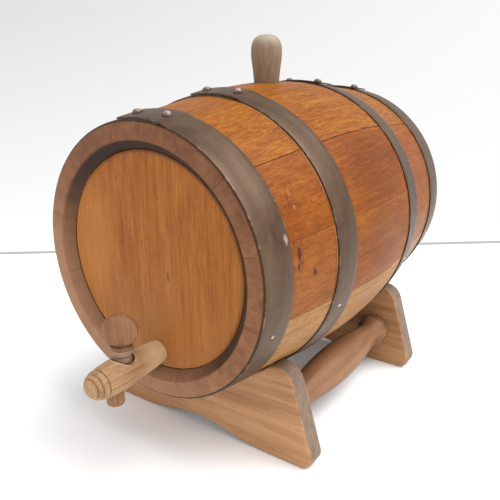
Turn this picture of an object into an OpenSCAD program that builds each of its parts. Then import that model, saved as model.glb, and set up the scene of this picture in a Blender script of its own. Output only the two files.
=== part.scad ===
// Small oak wine barrel lying on a two-rail cradle, with a bung and a wooden tap.
// Millimetres. The barrel's axis runs along Y, its tapped end faces -Y and +Z is up.
// The origin is on the floor, under the middle of the whole object.

/* [Barrel] */
// Length between the two ends
barrel_l = 250; // [244:1:256]
// Radius over the staves at each end
end_r = 82; // [81:0.5:83]
// Radius over the staves at the bilge, where the barrel is widest
bilge_r = 95; // [93:0.5:97]
// Thickness of the staves
stave_t = 16; // [15:0.5:17]
// Half the length of the bowed middle, between the two straight tapers
bow_l = 42; // [38:1:46]
// How far the heads sit back from the ends
head_recess = 6.2; // [5.5:0.1:7]
// Thickness of the heads
head_t = 9; // [8:0.5:10]
// Radius of the inner edge of the end face, where the chime's bevel starts
chime_in_r = 72.5; // [71:0.5:74]

/* [Hoops] */
// Thickness of the hoop steel
hoop_t = 0.9; // [0.7:0.1:1.2]
// Width of the two chime hoops
chime_hoop_w = 22.4; // [20:0.2:24]
// Width of the two bilge hoops
bilge_hoop_w = 19; // [17:0.5:19]
// Distance of each bilge hoop from its end of the barrel
bilge_hoop_y = 65; // [64:0.5:66]
// Radius of the rivet heads
rivet_r = 3.2; // [2.6:0.1:3.4]

/* [Bung] */
// Radius of the bung where it enters the stave
bung_r = 8.5; // [8:0.1:9]
// Height of the bung above the bilge
bung_h = 31; // [28:1:34]

/* [Tap] */
// Reach of the tap in front of the barrel's end
tap_reach = 48.1; // [47:0.1:49]
// Distance of the tap's axis below the barrel's axis
tap_drop = 57.5; // [57:0.1:58]
// Greatest radius of the tap's body
tap_r = 9.9; // [9.6:0.1:10.2]
// Radius of the key's round knob
knob_r = 10; // [9:0.1:11]
// Angle of the knob's face from the front of the barrel, closed at rest
key_turn = 40; // [0:5:40]

/* [Cradle] */
// Height of the barrel's axis above the floor
axis_z = 130; // [128:1:132]
// Distance of each cross-piece's outer face from its end of the barrel
cross_y = 41.6; // [40:0.2:43]
// Thickness of the cross-pieces
cross_t = 13.5; // [12:0.5:15]
// Half the width of the cradle over its feet
foot_x = 89; // [87:0.5:91]
// Rise of the shallow arch between the feet
arch_h = 6.8; // [5:0.2:8]
// Greatest radius of the side rails
rail_r = 13.4; // [12.5:0.1:14]

/* [Hidden] */
$fn = 96;

stave_count = 12;
stave_a = 360 / stave_count;
half_l = barrel_l / 2;
front_y = (tap_reach - barrel_l) / 2;   // the front end's place, with the whole object centred on Y
mid_y = front_y + half_l;
joint_gap = 0.04;                       // glue line or rubbed joint between pieces of one assembly
rest_gap = 0.3;                         // clearance between the barrel and its saddles

// The stave's outer line: a straight taper from each end, then a tangent arc over the middle.
taper = (bilge_r - end_r) / (half_l - bow_l / 2);
taper_a = atan(taper);
bow_r = bow_l / sin(taper_a);
function arc_r(s) = bilge_r - bow_r + sqrt(bow_r * bow_r - s * s);
function stave_r(y) =
    let (s = abs(y - half_l))
    s < bow_l ? arc_r(s) : arc_r(bow_l) - taper * (s - bow_l);
function arc_points(cx, cy, r, a0, a1, n) =
    [for (i = [0:n]) let (a = a0 + (a1 - a0) * i / n) [cx + r * cos(a), cy + r * sin(a)]];

bow_steps = 8;
chime_ease = 0.6;
croze_y = head_recess + 1.2;            // the groove that holds the head's tongue
croze_w = 5.2;
croze_d = 3;
head_r = stave_r(head_recess) - stave_t - 0.1;

// Hoops, as [distance from the end, width].
chime_hoop = [1, chime_hoop_w];
bilge_hoop = [bilge_hoop_y, bilge_hoop_w];
lap_a0 = -10.5;                         // the strip's free end
lap_a1 = 11;                            // where the outer layer starts to come down again
lap_ramp = 4;
rivet_angles = [-7, 8];
rivet_h = 0.75 * rivet_r;               // height of the heads
rivet_shank_r = 1.4;
nail_a = 109;
nail_head_r = 1.2;
nail_shank_r = 0.7;
nail_l = 7;
fit_gap = 0.05;

// Head boards and their dowels.
board_x = 22;                           // the two glue lines of a head lie this far either side
dowel_r = 2;
dowel_l = 16;
dowel_z = 30;

// Bung: it tapers a little below the stave's surface, so that it wedges at the mouth of its hole.
bung_taper = 0.03;
bung_depth = stave_t + 3;
bung_fit = 0.1;
bung_belly_r = bung_r * 1.225;

// Tap, measured along its own axis from the barrel's end, with +t towards the nose.
tap_z = axis_z - tap_drop;
shank_t = 34;                           // how far the shank reaches in behind the end
shank_r = 5;
body_t = 28;                            // where the body stops widening
tap_taper = (tap_r - shank_r) / (body_t + shank_t);
function shank_radius(t) = shank_r + tap_taper * (t + shank_t);
head_hole_gap = 0.1;
channel_r = 1.8;
key_t = 22.6;
key_top_r = 5;
key_bottom_r = 4;
key_fit = 0.06;
key_seat_z = 7.2;                       // floor of the pocket that is cut for the key
key_seat_r = 7.1;
key_floor_z = -8.2;
collar_z = 7.5;                         // the key's two rings stand on a neck that starts here
collar_h = 9.5;
collar_r = 6.6;
ring_gap_z = 7.95;                      // middle of the groove between the rings, above collar_z
knob_z = 26;
knob_t = 6.2;
spout_t = 30.2;
spout_r = 5.2;
spout_seat_z = -8.6;
spout_tip_z = -17.5;
spout_tenon_r = 3;
spout_tenon_z = -4.5;

// Cradle.
horn_r = 13;
horn_a = 38.8;                          // direction of each horn's centre, from straight down
foot_r = 8;
arch_x = 52;                            // where the arch meets the floor
arch_steps = 12;
saddle_r0 = stave_r(cross_y) + rest_gap;
saddle_r1 = stave_r(cross_y + cross_t) + rest_gap;
horn_bite = 1.2;                        // how far the horn's round runs into the saddle
horn_d = (saddle_r0 + saddle_r1) / 2 + horn_r - horn_bite;
horn_c = [horn_d * sin(horn_a), -horn_d * cos(horn_a)];
foot_c = [foot_x - foot_r, foot_r - axis_z];
rail_x = 60;
rail_z = 28.5;
rail_l = barrel_l - 2 * (cross_y + cross_t);
rail_neck_r = 8.6;
rail_bead_r = 11.8;
rail_neck_l = 17;
tenon_r = 6;
tenon_l = 8;

// ---- placing ----

// Children drawn round +Z, from the end inwards, are laid along the barrel from its front end.
module from_front() {
    translate([0, front_y, axis_z]) rotate([-90, 0, 0]) children();
}

// The rear end carries the same pieces as the front, turned half round about the vertical.
module at_rear() {
    translate([0, 2 * mid_y, 0]) rotate([0, 0, 180]) children();
}

// A direction round the barrel: 0 is the top, and positive goes towards +X.
module round_to(a) {
    rotate([0, 0, a - 90]) children();
}

// Children drawn round +Z with the nose up are laid along the tap's axis.
module along_tap() {
    translate([0, front_y, tap_z]) rotate([90, 0, 0]) children();
}

// A frame that stands on the tap's axis, t in front of the barrel's end.
module on_tap(t) {
    translate([0, front_y - t, tap_z]) children();
}

// ---- staves ----

module stave_profile() {
    bow = [for (i = [0:bow_steps]) half_l + bow_l * (2 * i / bow_steps - 1)];
    outer = concat(
        [[stave_r(0) - chime_ease, 0], [stave_r(chime_ease), chime_ease]],
        [for (y = bow) [stave_r(y), y]],
        [[stave_r(chime_ease), barrel_l - chime_ease], [stave_r(0) - chime_ease, barrel_l]]
    );
    end_in = [
        [chime_in_r, 0],
        [stave_r(head_recess) - stave_t, head_recess - 0.2],
        [stave_r(croze_y) - stave_t, croze_y],
        [stave_r(croze_y) - stave_t + croze_d, croze_y],
        [stave_r(croze_y) - stave_t + croze_d, croze_y + croze_w],
        [stave_r(croze_y + croze_w) - stave_t, croze_y + croze_w]
    ];
    last = len(end_in) - 1;
    inner = concat(
        [for (i = [0:last]) [end_in[i].x, barrel_l - end_in[i].y]],
        [for (i = [0:bow_steps]) let (y = bow[bow_steps - i]) [stave_r(y) - stave_t, y]],
        [for (i = [0:last]) end_in[last - i]]
    );
    polygon(concat(outer, inner));
}

// One stave, i places round from the top, with its pilot holes for the hoop nails.
module stave_blank(i) {
    gap_a = joint_gap / end_r * 180 / PI;
    has_nails = abs(abs(wrapped(i * stave_a)) - nail_a) < stave_a / 2;
    difference() {
        from_front() round_to(i * stave_a - stave_a / 2 + gap_a / 2)
            rotate_extrude(angle = stave_a - gap_a) stave_profile();
        if (has_nails) nails(nail_shank_r + fit_gap);
    }
}

function wrapped(a) = a > 180 ? a - 360 : a;

module stave(i) {
    color([0.72, 0.43, 0.2]) stave_blank(i);
}

module bung_stave() {
    color([0.72, 0.43, 0.2]) difference() {
        stave_blank(0);
        translate([0, mid_y, axis_z + bilge_r - stave_t - 4])
            cylinder(h = stave_t + 8, r = bung_r + bung_fit);
    }
}

// ---- heads ----

module head_disc() {
    y0 = head_recess;
    y1 = head_recess + head_t;
    tongue_r = stave_r(croze_y) - stave_t + croze_d - 0.1;
    t0 = croze_y + 0.1;
    t1 = croze_y + croze_w - 0.1;
    rotate_extrude() polygon([
        [0, y0], [head_r - 0.8, y0], [head_r, y0 + 0.8], [head_r, t0], [tongue_r - 0.5, t0],
        [tongue_r, t0 + 0.5], [tongue_r, t1 - 0.5], [tongue_r - 0.5, t1], [head_r, t1],
        [head_r, y1 - 0.8], [head_r - 0.8, y1], [0, y1]
    ]);
}

// Dowels lie along X across the two glue lines, above and below the middle.
module dowels(r, l) {
    for (x = [-board_x, board_x], z = [-dowel_z, dowel_z])
        translate([x - l / 2, front_y + head_recess + head_t / 2, axis_z + z])
            rotate([0, 90, 0]) cylinder(h = l, r = r);
}

// Board side is -1 for left, 0 for middle and 1 for right, seen from the front.
module head_board(side, tap_hole) {
    w = side == 0 ? 2 * board_x - joint_gap : bilge_r - board_x;
    x = side == 0 ? -w / 2 : (side > 0 ? board_x + joint_gap / 2 : -board_x - joint_gap / 2 - w);
    hole_t0 = -head_recess - head_t - 1;
    hole_t1 = -head_recess + 1;
    color([0.66, 0.38, 0.17]) difference() {
        intersection() {
            from_front() head_disc();
            translate([x, front_y, axis_z - bilge_r]) cube([w, 20, 2 * bilge_r]);
        }
        dowels(dowel_r + fit_gap, dowel_l + 0.4);
        if (tap_hole)
            along_tap() translate([0, 0, hole_t0])
                cylinder(
                    h = hole_t1 - hole_t0,
                    r1 = shank_radius(hole_t0) + head_hole_gap,
                    r2 = shank_radius(hole_t1) + head_hole_gap
                );
    }
}

module head_dowels() {
    color([0.8, 0.62, 0.4]) dowels(dowel_r, dowel_l);
}

// ---- hoops ----

// Radius of the hoop's inner face at a distance y from the end.
function hoop_r(y) = stave_r(y) + 0.03;

// The strip's section, lying on the staves with its outer edges eased.
module hoop_section(hoop, lift, thick) {
    y0 = hoop[0];
    y1 = hoop[0] + hoop[1];
    ease = min(0.25, thick / 2);
    polygon([
        [hoop_r(y0) + lift, y0], [hoop_r(y0) + lift + thick - ease, y0],
        [hoop_r(y0) + lift + thick, y0 + ease], [hoop_r(y1) + lift + thick, y1 - ease],
        [hoop_r(y1) + lift + thick - ease, y1], [hoop_r(y1) + lift, y1]
    ]);
}

// Children stand on the hoop's outer face at an angle round the barrel, with +Z outwards.
module on_hoop(hoop, a, lift) {
    y = hoop[0] + hoop[1] / 2;
    from_front() round_to(a) translate([hoop_r(y), 0, y]) rotate([0, 90 + taper_a, 0])
        translate([0, 0, lift]) children();
}

// A hoop is one strip whose free end laps over its start and is riveted to it.
module hoop(h) {
    lap_steps = 4;
    bite = 0.05;
    color([0.42, 0.37, 0.34]) difference() {
        union() {
            from_front() rotate_extrude() hoop_section(h, 0, hoop_t);
            from_front() round_to(lap_a0) rotate_extrude(angle = lap_a1 - lap_a0)
                hoop_section(h, hoop_t - bite, hoop_t + bite);
            for (i = [1:lap_steps - 1])
                from_front() round_to(lap_a1 - bite) rotate_extrude(angle = lap_ramp * i / lap_steps)
                    hoop_section(h, hoop_t - bite, (hoop_t + bite) * (1 - i / lap_steps));
        }
        for (a = rivet_angles) on_hoop(h, a, -1) cylinder(h = 4, r = rivet_shank_r + fit_gap, $fn = 48);
        for (a = [-nail_a, nail_a]) nail(h, a, nail_shank_r + fit_gap, 0);
    }
}

module dome(r, h) {
    big_r = (r * r + h * h) / (2 * h);
    half_a = asin(r / big_r);
    rotate_extrude() polygon(concat([[0, 0]], arc_points(0, h - big_r, big_r, 90 - half_a, 90, 6)));
}

module rivets(h) {
    color([0.5, 0.45, 0.42]) for (a = rivet_angles) {
        on_hoop(h, a, 2 * hoop_t + 0.04) dome(rivet_r, rivet_h, $fn = 48);
        on_hoop(h, a, fit_gap) cylinder(h = 2 * hoop_t, r = rivet_shank_r, $fn = 48);
    }
}

// The nails' shanks, or with a head_h their heads too, at both sides of all four hoops.
module nails(shank, head_h = 0) {
    for (h = [chime_hoop, bilge_hoop], a = [-nail_a, nail_a]) {
        nail(h, a, shank, head_h);
        at_rear() nail(h, a, shank, head_h);
    }
}

module nail(h, a, shank, head_h) {
    on_hoop(h, a, hoop_t - nail_l) cylinder(h = nail_l + 0.1, r = shank, $fn = 32);
    if (head_h > 0) on_hoop(h, a, hoop_t + 0.03) dome(nail_head_r, head_h, $fn = 32);
}

module hoop_nails() {
    color([0.75, 0.73, 0.7]) nails(nail_shank_r, 0.5);
}

// ---- bung ----

// Turned stopper: it swells above the stave and ends in a rounded top.
module bung() {
    b = bung_belly_r;
    color([0.52, 0.43, 0.34]) translate([0, mid_y, axis_z + bilge_r]) rotate_extrude() polygon(concat(
        [
            [0, -bung_depth],
            [bung_r - bung_taper * bung_depth - 0.8, -bung_depth],
            [bung_r - bung_taper * bung_depth, 0.8 - bung_depth],
            [bung_r, 0],
            [bung_r + 0.35 * (b - bung_r), 0.25 * bung_h],
            [bung_r + 0.85 * (b - bung_r), 0.46 * bung_h]
        ],
        arc_points(b - 8, 0.62 * bung_h, 8, -10, 30, 6),
        [
            [b * 0.89, 0.86 * bung_h],
            [b * 0.76, 0.92 * bung_h],
            [b * 0.56, 0.965 * bung_h],
            [b * 0.3, 0.99 * bung_h],
            [0, bung_h]
        ]
    ));
}

// ---- tap ----

// A shallow turned ring groove, from t - w to t + w along the nose.
function groove(t, r, w, d) = [[r, t - w], [r - d, t - w / 3], [r - d, t + w / 3], [r, t + w]];

module tap_blank() {
    nose = tap_reach - body_t;
    rotate_extrude() polygon(concat(
        [[0, -shank_t], [shank_r - 0.8, -shank_t], [shank_radius(0.8 - shank_t), 0.8 - shank_t]],
        [
            [tap_r, body_t],
            [tap_r * 0.985, body_t + 0.2 * nose],
            [tap_r * 0.955, body_t + 0.4 * nose],
            [tap_r * 0.925, body_t + 0.52 * nose]
        ],
        groove(body_t + 0.61 * nose, tap_r * 0.893, 0.6, 0.6),
        [[tap_r * 0.87, body_t + 0.69 * nose], [tap_r * 0.83, body_t + 0.755 * nose]],
        groove(body_t + 0.8 * nose, tap_r * 0.775, 0.6, 0.6),
        [
            [tap_r * 0.745, body_t + 0.85 * nose],
            [tap_r * 0.69, body_t + 0.895 * nose],
            [tap_r * 0.62, body_t + 0.91 * nose],
            [tap_r * 0.54, body_t + 0.92 * nose],
            [tap_r * 0.54, body_t + 0.932 * nose],
            [tap_r * 0.57, body_t + 0.942 * nose],
            [tap_r * 0.565, body_t + 0.962 * nose],
            [tap_r * 0.52, body_t + 0.98 * nose],
            [tap_r * 0.4, body_t + 0.994 * nose],
            [tap_r * 0.2, tap_reach],
            [0, tap_reach]
        ]
    ));
}

// The key's cone, from below its floor to above the seat, grown by a clearance.
module key_cone(z0, z1, gap) {
    slope = (key_top_r - key_bottom_r) / (key_seat_z - key_floor_z);
    translate([0, 0, z0]) cylinder(
        h = z1 - z0,
        r1 = key_bottom_r + slope * (z0 - key_floor_z) + gap,
        r2 = key_bottom_r + slope * (z1 - key_floor_z) + gap
    );
}

// The channel runs from the shank's end, across the key, to the spout.
module tap_body() {
    color([0.8, 0.6, 0.38]) difference() {
        along_tap() tap_blank();
        along_tap() translate([0, 0, -shank_t - 1]) cylinder(h = shank_t + 1 + spout_t, r = channel_r);
        on_tap(spout_t) translate([0, 0, spout_seat_z - 5]) cylinder(h = 5 - spout_seat_z, r = channel_r);
        on_tap(spout_t) translate([0, 0, spout_seat_z - 5])
            cylinder(h = 5 + spout_tenon_z - spout_seat_z, r = spout_tenon_r + fit_gap);
        on_tap(spout_t) translate([0, 0, spout_seat_z - 5]) cylinder(h = 5, r = spout_r + 0.1);
        on_tap(key_t) key_cone(key_floor_z, key_seat_z + 3, key_fit);
        on_tap(key_t) translate([0, 0, key_seat_z]) cylinder(h = 5, r = key_seat_r);
    }
}

module tap_spout() {
    top = spout_seat_z - 0.02;
    tip = spout_tip_z;
    color([0.74, 0.54, 0.34]) on_tap(spout_t) rotate_extrude() polygon([
        [channel_r, tip], [spout_r - 1.4, tip], [spout_r - 0.4, tip + 0.5], [spout_r, tip + 1.6],
        [spout_r, top], [spout_tenon_r, top], [spout_tenon_r, spout_tenon_z - 0.1],
        [channel_r, spout_tenon_z - 0.1]
    ]);
}

// A plain neck under a wide ring and a narrow one, with a turned groove between the rings.
module key_collar() {
    neck_r = collar_r - 1.2;
    gap_r = collar_r - 0.8;
    c1 = collar_z + collar_h;
    g = collar_z + ring_gap_z;
    rotate_extrude() polygon([
        [0, collar_z], [neck_r, collar_z], [neck_r, g - 4.35], [collar_r - 0.3, g - 3.45],
        [collar_r, g - 2.45], [collar_r, g - 1.25], [collar_r - 0.5, g - 0.35], [gap_r, g - 0.15],
        [gap_r, g + 0.15], [collar_r - 0.3, g + 0.55], [collar_r - 0.3, g + 1.05], [gap_r, c1], [0, c1]
    ]);
}

// The knob is a disc on edge; the port across the plug lies in the knob's own plane.
module tap_key() {
    color([0.72, 0.52, 0.33]) on_tap(key_t) rotate([0, 0, key_turn]) difference() {
        union() {
            key_cone(key_floor_z + 0.4, collar_z + 0.5, 0);
            key_collar();
            translate([0, 0, knob_z]) rotate([90, 0, 0]) rotate_extrude() polygon([
                [0, -knob_t / 2], [knob_r - 1.2, -knob_t / 2], [knob_r - 0.3, 0.7 - knob_t / 2],
                [knob_r, 1.8 - knob_t / 2], [knob_r, knob_t / 2 - 1.8],
                [knob_r - 0.3, knob_t / 2 - 0.7], [knob_r - 1.2, knob_t / 2], [0, knob_t / 2]
            ]);
        }
        translate([-10, 0, 0]) rotate([0, 90, 0]) cylinder(h = 20, r = channel_r);
    }
}

// ---- cradle ----

// The right half of a cross-piece's outline, from the arch's middle round to the horn.
function cross_half() =
    let (
        side = foot_c - horn_c,
        side_a = atan2(side.y, side.x) + 90 - asin((horn_r - foot_r) / norm(side))
    )
    concat(
        [for (i = [0:arch_steps]) let (u = i / arch_steps)
            [arch_x * u, arch_h * (1 + cos(180 * u)) / 2 - axis_z]],
        arc_points(foot_c.x, foot_c.y, foot_r, -90, side_a, 8),
        arc_points(horn_c.x, horn_c.y, horn_r, side_a, 90 + horn_a, 12)
    );

module cross_piece() {
    right = cross_half();
    count = len(right);
    left = [for (i = [count - 1:-1:1]) [-right[i].x, right[i].y]];
    color([0.7, 0.45, 0.24]) difference() {
        translate([0, front_y + cross_y + cross_t, axis_z]) rotate([90, 0, 0])
            linear_extrude(cross_t) polygon(concat(right, left));
        from_front() translate([0, 0, cross_y - 1])
            cylinder(
                h = cross_t + 2,
                r1 = stave_r(cross_y - 1) + rest_gap,
                r2 = stave_r(cross_y + cross_t + 1) + rest_gap,
                $fn = 180
            );
        for (x = [-rail_x, rail_x])
            translate([x, front_y + cross_y + cross_t + 1, rail_z]) rotate([90, 0, 0])
                cylinder(h = tenon_l + 1, r = tenon_r + fit_gap);
    }
}

// A turned rail: a bead at each end, a neck, and a long swelling between them.
module rail(side) {
    steps = 12;
    swell = [for (i = [0:steps]) let (u = i / steps)
        [rail_neck_r + (rail_r - rail_neck_r) * sin(180 * u), rail_neck_l + (rail_l - 2 * rail_neck_l) * u]];
    bead = [
        [tenon_r, 0.02], [rail_bead_r - 1.2, 0.02], [rail_bead_r, 1.4],
        [rail_bead_r, 7], [rail_bead_r - 1, 9.4]
    ];
    last = len(bead) - 1;
    color([0.72, 0.46, 0.24]) translate([side * rail_x, front_y + cross_y + cross_t, rail_z])
        rotate([-90, 0, 0]) rotate_extrude() polygon(concat(
            [[0, 0.2 - tenon_l], [tenon_r, 0.2 - tenon_l]],
            bead,
            swell,
            [for (i = [0:last]) [bead[last - i].x, rail_l - bead[last - i].y]],
            [[tenon_r, rail_l + tenon_l - 0.2], [0, rail_l + tenon_l - 0.2]]
        ));
}

// ---- the object ----

bung_stave();
for (i = [1:stave_count - 1])
    stave(i);

head_board(-1, false);  // front_head_left
head_board(0, true);  // front_head_middle
head_board(1, false);  // front_head_right
head_dowels();  // front_head_dowels
at_rear() head_board(1, false);  // rear_head_left
at_rear() head_board(0, false);  // rear_head_middle
at_rear() head_board(-1, false);  // rear_head_right
at_rear() head_dowels();  // rear_head_dowels

hoop(chime_hoop);  // front_chime_hoop
hoop(bilge_hoop);  // front_bilge_hoop
at_rear() hoop(bilge_hoop);  // rear_bilge_hoop
at_rear() hoop(chime_hoop);  // rear_chime_hoop
rivets(chime_hoop);  // front_chime_rivets
rivets(bilge_hoop);  // front_bilge_rivets
at_rear() rivets(bilge_hoop);  // rear_bilge_rivets
at_rear() rivets(chime_hoop);  // rear_chime_rivets
hoop_nails();

bung();
tap_body();
tap_spout();
tap_key();

cross_piece();  // front_cross_piece
at_rear() cross_piece();  // rear_cross_piece
rail(-1);  // left_rail
rail(1);  // right_rail
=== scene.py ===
"""A small oak wine barrel on its cradle: the finished look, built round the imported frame.

Metres. The barrel's axis runs along Y, its tapped end faces -Y and +Z is up. Distances s run along
the barrel from its front end, and angles round it start at the top and grow towards +X.
"""

import math

import bmesh
import bpy
from mathutils import Matrix, Vector, noise


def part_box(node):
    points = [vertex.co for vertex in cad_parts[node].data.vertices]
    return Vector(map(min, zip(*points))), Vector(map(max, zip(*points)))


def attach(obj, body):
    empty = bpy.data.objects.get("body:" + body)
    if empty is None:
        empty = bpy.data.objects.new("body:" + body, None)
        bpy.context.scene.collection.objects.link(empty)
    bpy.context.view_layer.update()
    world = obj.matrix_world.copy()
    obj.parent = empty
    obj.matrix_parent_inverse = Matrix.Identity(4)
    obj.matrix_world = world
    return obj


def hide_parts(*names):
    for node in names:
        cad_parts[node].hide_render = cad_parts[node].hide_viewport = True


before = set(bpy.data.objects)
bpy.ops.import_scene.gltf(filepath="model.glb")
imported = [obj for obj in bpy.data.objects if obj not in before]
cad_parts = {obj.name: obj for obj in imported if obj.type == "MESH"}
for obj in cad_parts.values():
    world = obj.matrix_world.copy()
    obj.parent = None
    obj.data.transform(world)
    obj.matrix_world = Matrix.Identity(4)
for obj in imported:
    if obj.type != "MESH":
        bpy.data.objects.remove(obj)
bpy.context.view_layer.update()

MM = 0.001

# ---- measures, from the frame ----

stave_low, stave_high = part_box("stave_07")
head_low, head_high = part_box("rear_head_middle")
chime_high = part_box("front_chime_hoop")[1]
bilge_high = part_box("front_bilge_hoop")[1]

FRONT_Y = stave_low.y
LENGTH = stave_high.y - FRONT_Y
HALF_L = LENGTH / 2
MID_Y = FRONT_Y + HALF_L
AXIS_Z = (head_low.z + head_high.z) / 2
BILGE_R = AXIS_Z - stave_low.z
HOOP_T = 0.9 * MM
HOOP_GAP = 0.03 * MM
TAPER = (bilge_high.x - chime_high.x) / (bilge_high.y - chime_high.y)
END_R = chime_high.x - HOOP_T - HOOP_GAP - TAPER * (chime_high.y - FRONT_Y)
BOW = 2 * (HALF_L - (BILGE_R - END_R) / TAPER)
BOW_R = BOW / math.sin(math.atan(TAPER))

STAVES = 12
STAVE_A = 2 * math.pi / STAVES
STAVE_T = 16 * MM
CHIME_IN_R = 72.5 * MM  # inner edge of the end face, where the bevel starts
HEAD_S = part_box("front_head_middle")[0].y - FRONT_Y
CROZE_S = HEAD_S + 1.2 * MM  # the groove that holds the head: its start, width and depth
CROZE_W = 5.2 * MM
CROZE_D = 3 * MM


def outer_r(s):
    """Radius over the staves at a distance s from the front end."""
    off = abs(s - HALF_L)
    if off < BOW:
        return BILGE_R - BOW_R + math.sqrt(BOW_R**2 - off**2)
    return END_R + TAPER * (HALF_L - off)


def around(s, r, angle):
    """The point at a distance s, a radius r and an angle round the barrel."""
    return Vector((r * math.sin(angle), FRONT_Y + s, AXIS_Z + r * math.cos(angle)))


def hoop_span(name):
    """Start and width of a hoop, as distances from the front end."""
    low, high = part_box(name)
    return low.y - FRONT_Y, high.y - low.y


# ---- camera, standing in front of the tapped end and to its right ----

CAMERA_FROM_END = Vector((242.1, -235.5, 123.0)) * MM  # from the centre of the front end's face
CAMERA_AZIMUTH = math.radians(35.5)
CAMERA_PITCH = math.radians(18.9)
CAMERA_ROLL = math.radians(-0.5)
CAMERA_LENS = 44.4
CAMERA_SENSOR = 36
CAMERA_NEAR = 10 * MM


def linked(name, data):
    """A new object in the scene."""
    made = bpy.data.objects.new(name, data)
    bpy.context.scene.collection.objects.link(made)
    return made


camera_data = bpy.data.cameras.new("camera")
camera_data.lens = CAMERA_LENS
camera_data.sensor_width = CAMERA_SENSOR
camera_data.clip_start = CAMERA_NEAR
camera = linked("camera", camera_data)
camera.matrix_world = (
    Matrix.Translation(around(0, 0, 0) + CAMERA_FROM_END)
    @ Matrix.Rotation(CAMERA_AZIMUTH, 4, "Z")
    @ Matrix.Rotation(math.pi / 2 - CAMERA_PITCH, 4, "X")
    @ Matrix.Rotation(CAMERA_ROLL, 4, "Z")
)
bpy.context.scene.camera = camera


# ---- node building ----


def srgb(r, g, b):
    """A colour from its display values, 0 to 255."""
    linear = [(c / 255 / 12.92) if c < 11 else ((c / 255 + 0.055) / 1.055) ** 2.4 for c in (r, g, b)]
    return (*linear, 1)


SHADER_SOCKETS = {"metallic": "Metallic", "specular": "Specular IOR Level"}


class Graph:
    """The nodes of one tree. Each method adds nodes and returns an output socket."""

    def __init__(self, tree):
        self.tree = tree

    def put(self, socket, value):
        if isinstance(value, bpy.types.NodeSocket):
            self.tree.links.new(value, socket)
        else:
            socket.default_value = value

    def node(self, kind, inputs, output=0, **settings):
        made = self.tree.nodes.new(kind)
        for key, value in settings.items():
            setattr(made, key, value)
        for key, value in inputs.items():
            self.put(made.inputs[key], value)
        return made.outputs[output]

    def attribute(self, name, output="Vector"):
        return self.node("ShaderNodeAttribute", {}, output, attribute_name=name)

    def math(self, operation, a, b=0.0):
        return self.node("ShaderNodeMath", {0: a, 1: b}, operation=operation)

    def times(self, a, b):
        return self.math("MULTIPLY", a, b)

    def vector(self, operation, a, b, output=0):
        return self.node("ShaderNodeVectorMath", {0: a, 1: b}, output, operation=operation)

    def length(self, vector):
        return self.vector("LENGTH", vector, (0, 0, 0), "Value")

    def swing(self, value, amount):
        """A noise value, moved from 0 to 1 about 0.5 to lie about 0, and scaled."""
        return self.times(self.math("SUBTRACT", value, 0.5), amount)

    def parts(self, vector):
        made = self.tree.nodes.new("ShaderNodeSeparateXYZ")
        self.put(made.inputs[0], vector)
        return list(made.outputs)

    def join(self, x, y, z):
        return self.node("ShaderNodeCombineXYZ", {0: x, 1: y, 2: z})

    def noise(self, vector, stretch, detail=2.0, rough=0.5, warp=0.0, output=0):
        """Noise with that many cells to the metre along each axis, 0 to 1 about 0.5."""
        inputs = {
            "Vector": self.vector("MULTIPLY", vector, stretch),
            "Scale": 1.0,
            "Detail": detail,
            "Roughness": rough,
            "Distortion": warp,
        }
        return self.node("ShaderNodeTexNoise", inputs, output)

    def step(self, value, low, high, out_low=0.0, out_high=1.0):
        """value, read smoothly from low..high to out_low..out_high."""
        inputs = {0: value, 1: low, 2: high, 3: out_low, 4: out_high}
        return self.node("ShaderNodeMapRange", inputs, interpolation_type="SMOOTHSTEP")

    def linear(self, value, low, high, out_low=0.0, out_high=1.0):
        return self.node("ShaderNodeMapRange", {0: value, 1: low, 2: high, 3: out_low, 4: out_high})

    def mix(self, factor, a, b):
        return self.node("ShaderNodeMix", {0: factor, 6: a, 7: b}, 2, data_type="RGBA")

    def tint(self, colour, tint, mask, strength):
        """The colour, covered that strongly by the tint where the mask is 1."""
        return self.mix(self.times(mask, strength), colour, tint)

    def ramp(self, factor, stops):
        made = self.tree.nodes.new("ShaderNodeValToRGB")
        elements = made.color_ramp.elements
        while len(elements) < len(stops):
            elements.new(1)
        for element, (place, colour) in zip(elements, stops):
            element.position = place
            element.color = colour
        self.put(made.inputs[0], factor)
        return made.outputs[0]

    def spot(self, vector, centre, size, ragged=0.5):
        """1 inside an uneven spot of that half size round centre, falling to 0 outside it."""
        apart = self.vector("SUBTRACT", vector, centre)
        scaled = self.vector("DIVIDE", apart, size)
        fray = self.swing(self.noise(vector, (900, 1600, 900), detail=2), 2 * ragged)
        return self.step(self.math("ADD", self.length(scaled), fray), 1.0, 0.45)


class Surface(Graph):
    """One material's nodes."""

    def __init__(self, name):
        self.material = bpy.data.materials.new(name)
        self.material.use_nodes = True
        super().__init__(self.material.node_tree)
        self.shader = self.tree.nodes["Principled BSDF"]

    def here(self):
        """The place of the surface in the row's frame, in metres."""
        return self.node("ShaderNodeTexCoord", {}, "Object")

    def finish(self, colour, roughness, height=None, bump=0.0, **sockets):
        self.put(self.shader.inputs["Base Color"], colour)
        self.put(self.shader.inputs["Roughness"], roughness)
        for key, value in sockets.items():
            self.put(self.shader.inputs[SHADER_SOCKETS[key]], value)
        if height is not None:
            inputs = {"Strength": 1.0, "Distance": bump, "Height": height}
            self.put(self.shader.inputs["Normal"], self.node("ShaderNodeBump", inputs))
        return self.material


# ---- wood ----

LOOK_SWING = 2.4  # how far a feature of full strength moves the tone
RIPPLE_SWING = 2.6


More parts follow.
